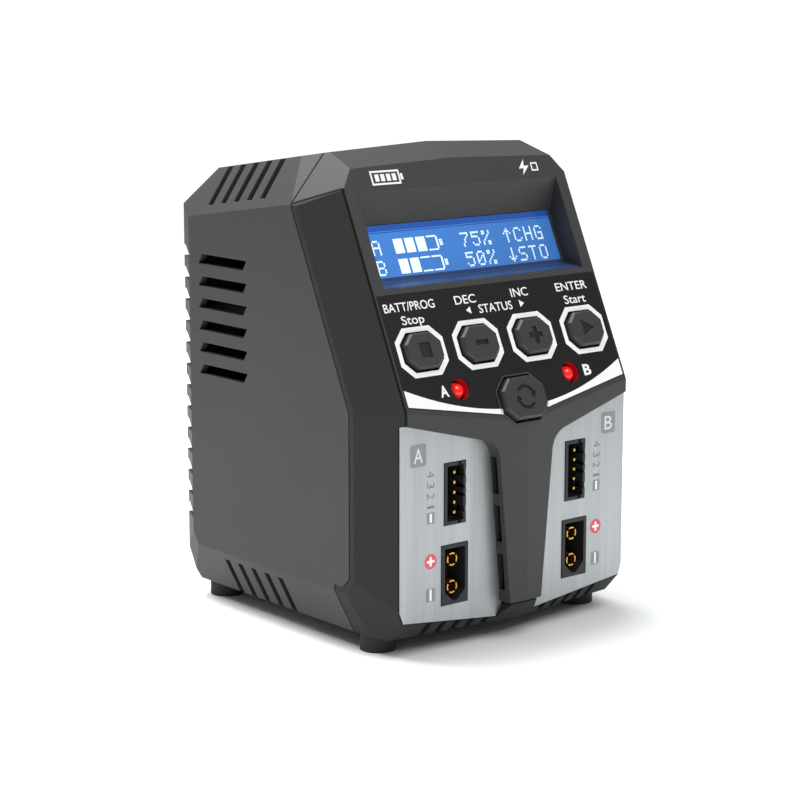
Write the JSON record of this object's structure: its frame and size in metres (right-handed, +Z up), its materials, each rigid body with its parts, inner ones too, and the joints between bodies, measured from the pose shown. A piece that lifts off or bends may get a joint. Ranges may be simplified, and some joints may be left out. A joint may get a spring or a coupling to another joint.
{
  "type": "balance battery charger",
  "caption": "Faceted upright charger with a sloped display and keypad, metal plates with balance and output sockets, side air slots, a rear fan and a mains inlet.",
  "frame": {"origin": "on the surface that the charger stands on, under the middle of its bounding box", "axes": "+X to the right of a person facing the display, -Y towards that person, +Z up"},
  "size_m": [0.0896, 0.0961, 0.1283],
  "materials": {
    "casing_plastic": "charcoal, fine spark-eroded texture",
    "overlay_film": "black printed film, satin",
    "clear_window": "clear acrylic",
    "display_glass": "blue liquid crystal glass",
    "tinned_steel": "tin-plated pressed steel",
    "circuit_board": "green solder mask over glass fibre",
    "key_plastic": "black, fine texture",
    "led_red": "clear red epoxy lens",
    "brushed_plate": "brushed and lacquered",
    "socket_plastic": "dark grey moulded nylon",
    "gold_contact": "gold-plated brass",
    "screw_steel": "black zinc-plated steel",
    "core_ferrite": "dark grey ferrite",
    "winding_tape": "yellow polyester tape",
    "capacitor_sleeve": "shrunk black sleeve",
    "heatsink_aluminium": "extruded, plain",
    "fan_plastic": "black glass-filled polyester",
    "foot_rubber": "moulded black rubber",
    "label_film": "blank silver label"
  },
  "bodies": {
    "casing": {"balance_header_a": "socket_plastic", "balance_header_b": "socket_plastic", "balance_pins_a": "gold_contact", "balance_pins_b": "gold_contact", "board_screws": "screw_steel", "bulk_capacitors": "capacitor_sleeve", "casing_screws": "screw_steel", "channel_plate_a": "brushed_plate", "channel_plate_b": "brushed_plate", "display_window": "clear_window", "fan_frame": "fan_plastic", "fan_screws": "screw_steel", "fascia": "casing_plastic", "fascia_screws": "screw_steel", "front_frame": "casing_plastic", "heatsink": "heatsink_aluminium", "inlet_pins": "tinned_steel", "key_board": "circuit_board", "key_switches": "socket_plastic", "keypad_overlay": "overlay_film", "lcd_bezel": "tinned_steel", "lcd_board": "circuit_board", "lcd_panel": "display_glass", "mains_inlet": "socket_plastic", "output_board": "circuit_board", "output_board_screws": "screw_steel", "output_chokes": "core_ferrite", "output_contacts_a": "gold_contact", "output_contacts_b": "gold_contact", "output_socket_a": "socket_plastic", "output_socket_b": "socket_plastic", "power_board": "circuit_board", "power_transistors": "socket_plastic", "rating_label": "label_film", "rear_casing": "casing_plastic", "rubber_feet": "foot_rubber", "status_led_a": "led_red", "status_led_b": "led_red", "transformer_core": "core_ferrite", "transformer_winding": "winding_tape"},
    "stop_key": {"stop_button": "key_plastic", "stop_plunger": "socket_plastic"},
    "minus_key": {"minus_button": "key_plastic", "minus_plunger": "socket_plastic"},
    "plus_key": {"plus_button": "key_plastic", "plus_plunger": "socket_plastic"},
    "start_key": {"start_button": "key_plastic", "start_plunger": "socket_plastic"},
    "cycle_key": {"cycle_button": "key_plastic", "cycle_plunger": "socket_plastic"},
    "fan_rotor_body": {"fan_rotor": "fan_plastic"}
  },
  "joints": [
    {"name": "stop_press", "type": "slide", "parent": "casing", "child": "stop_key", "axis": [0, 0.9068, -0.4215], "range_m": [0, 0.0005], "stiffness_N_per_m": 1200},
    {"name": "minus_press", "type": "slide", "parent": "casing", "child": "minus_key", "axis": [0, 0.9068, -0.4215], "range_m": [0, 0.0005], "stiffness_N_per_m": 1200},
    {"name": "plus_press", "type": "slide", "parent": "casing", "child": "plus_key", "axis": [0, 0.9068, -0.4215], "range_m": [0, 0.0005], "stiffness_N_per_m": 1200},
    {"name": "start_press", "type": "slide", "parent": "casing", "child": "start_key", "axis": [0, 0.9068, -0.4215], "range_m": [0, 0.0005], "stiffness_N_per_m": 1200},
    {"name": "cycle_press", "type": "slide", "parent": "casing", "child": "cycle_key", "axis": [0, 0.9068, -0.4215], "range_m": [0, 0.0005], "stiffness_N_per_m": 1200},
    {"name": "fan_spin", "type": "hinge", "parent": "casing", "child": "fan_rotor_body", "pos_m": [0, 0.0385, 0.076], "axis": [0, 1, 0], "continuous": true}
  ]
}
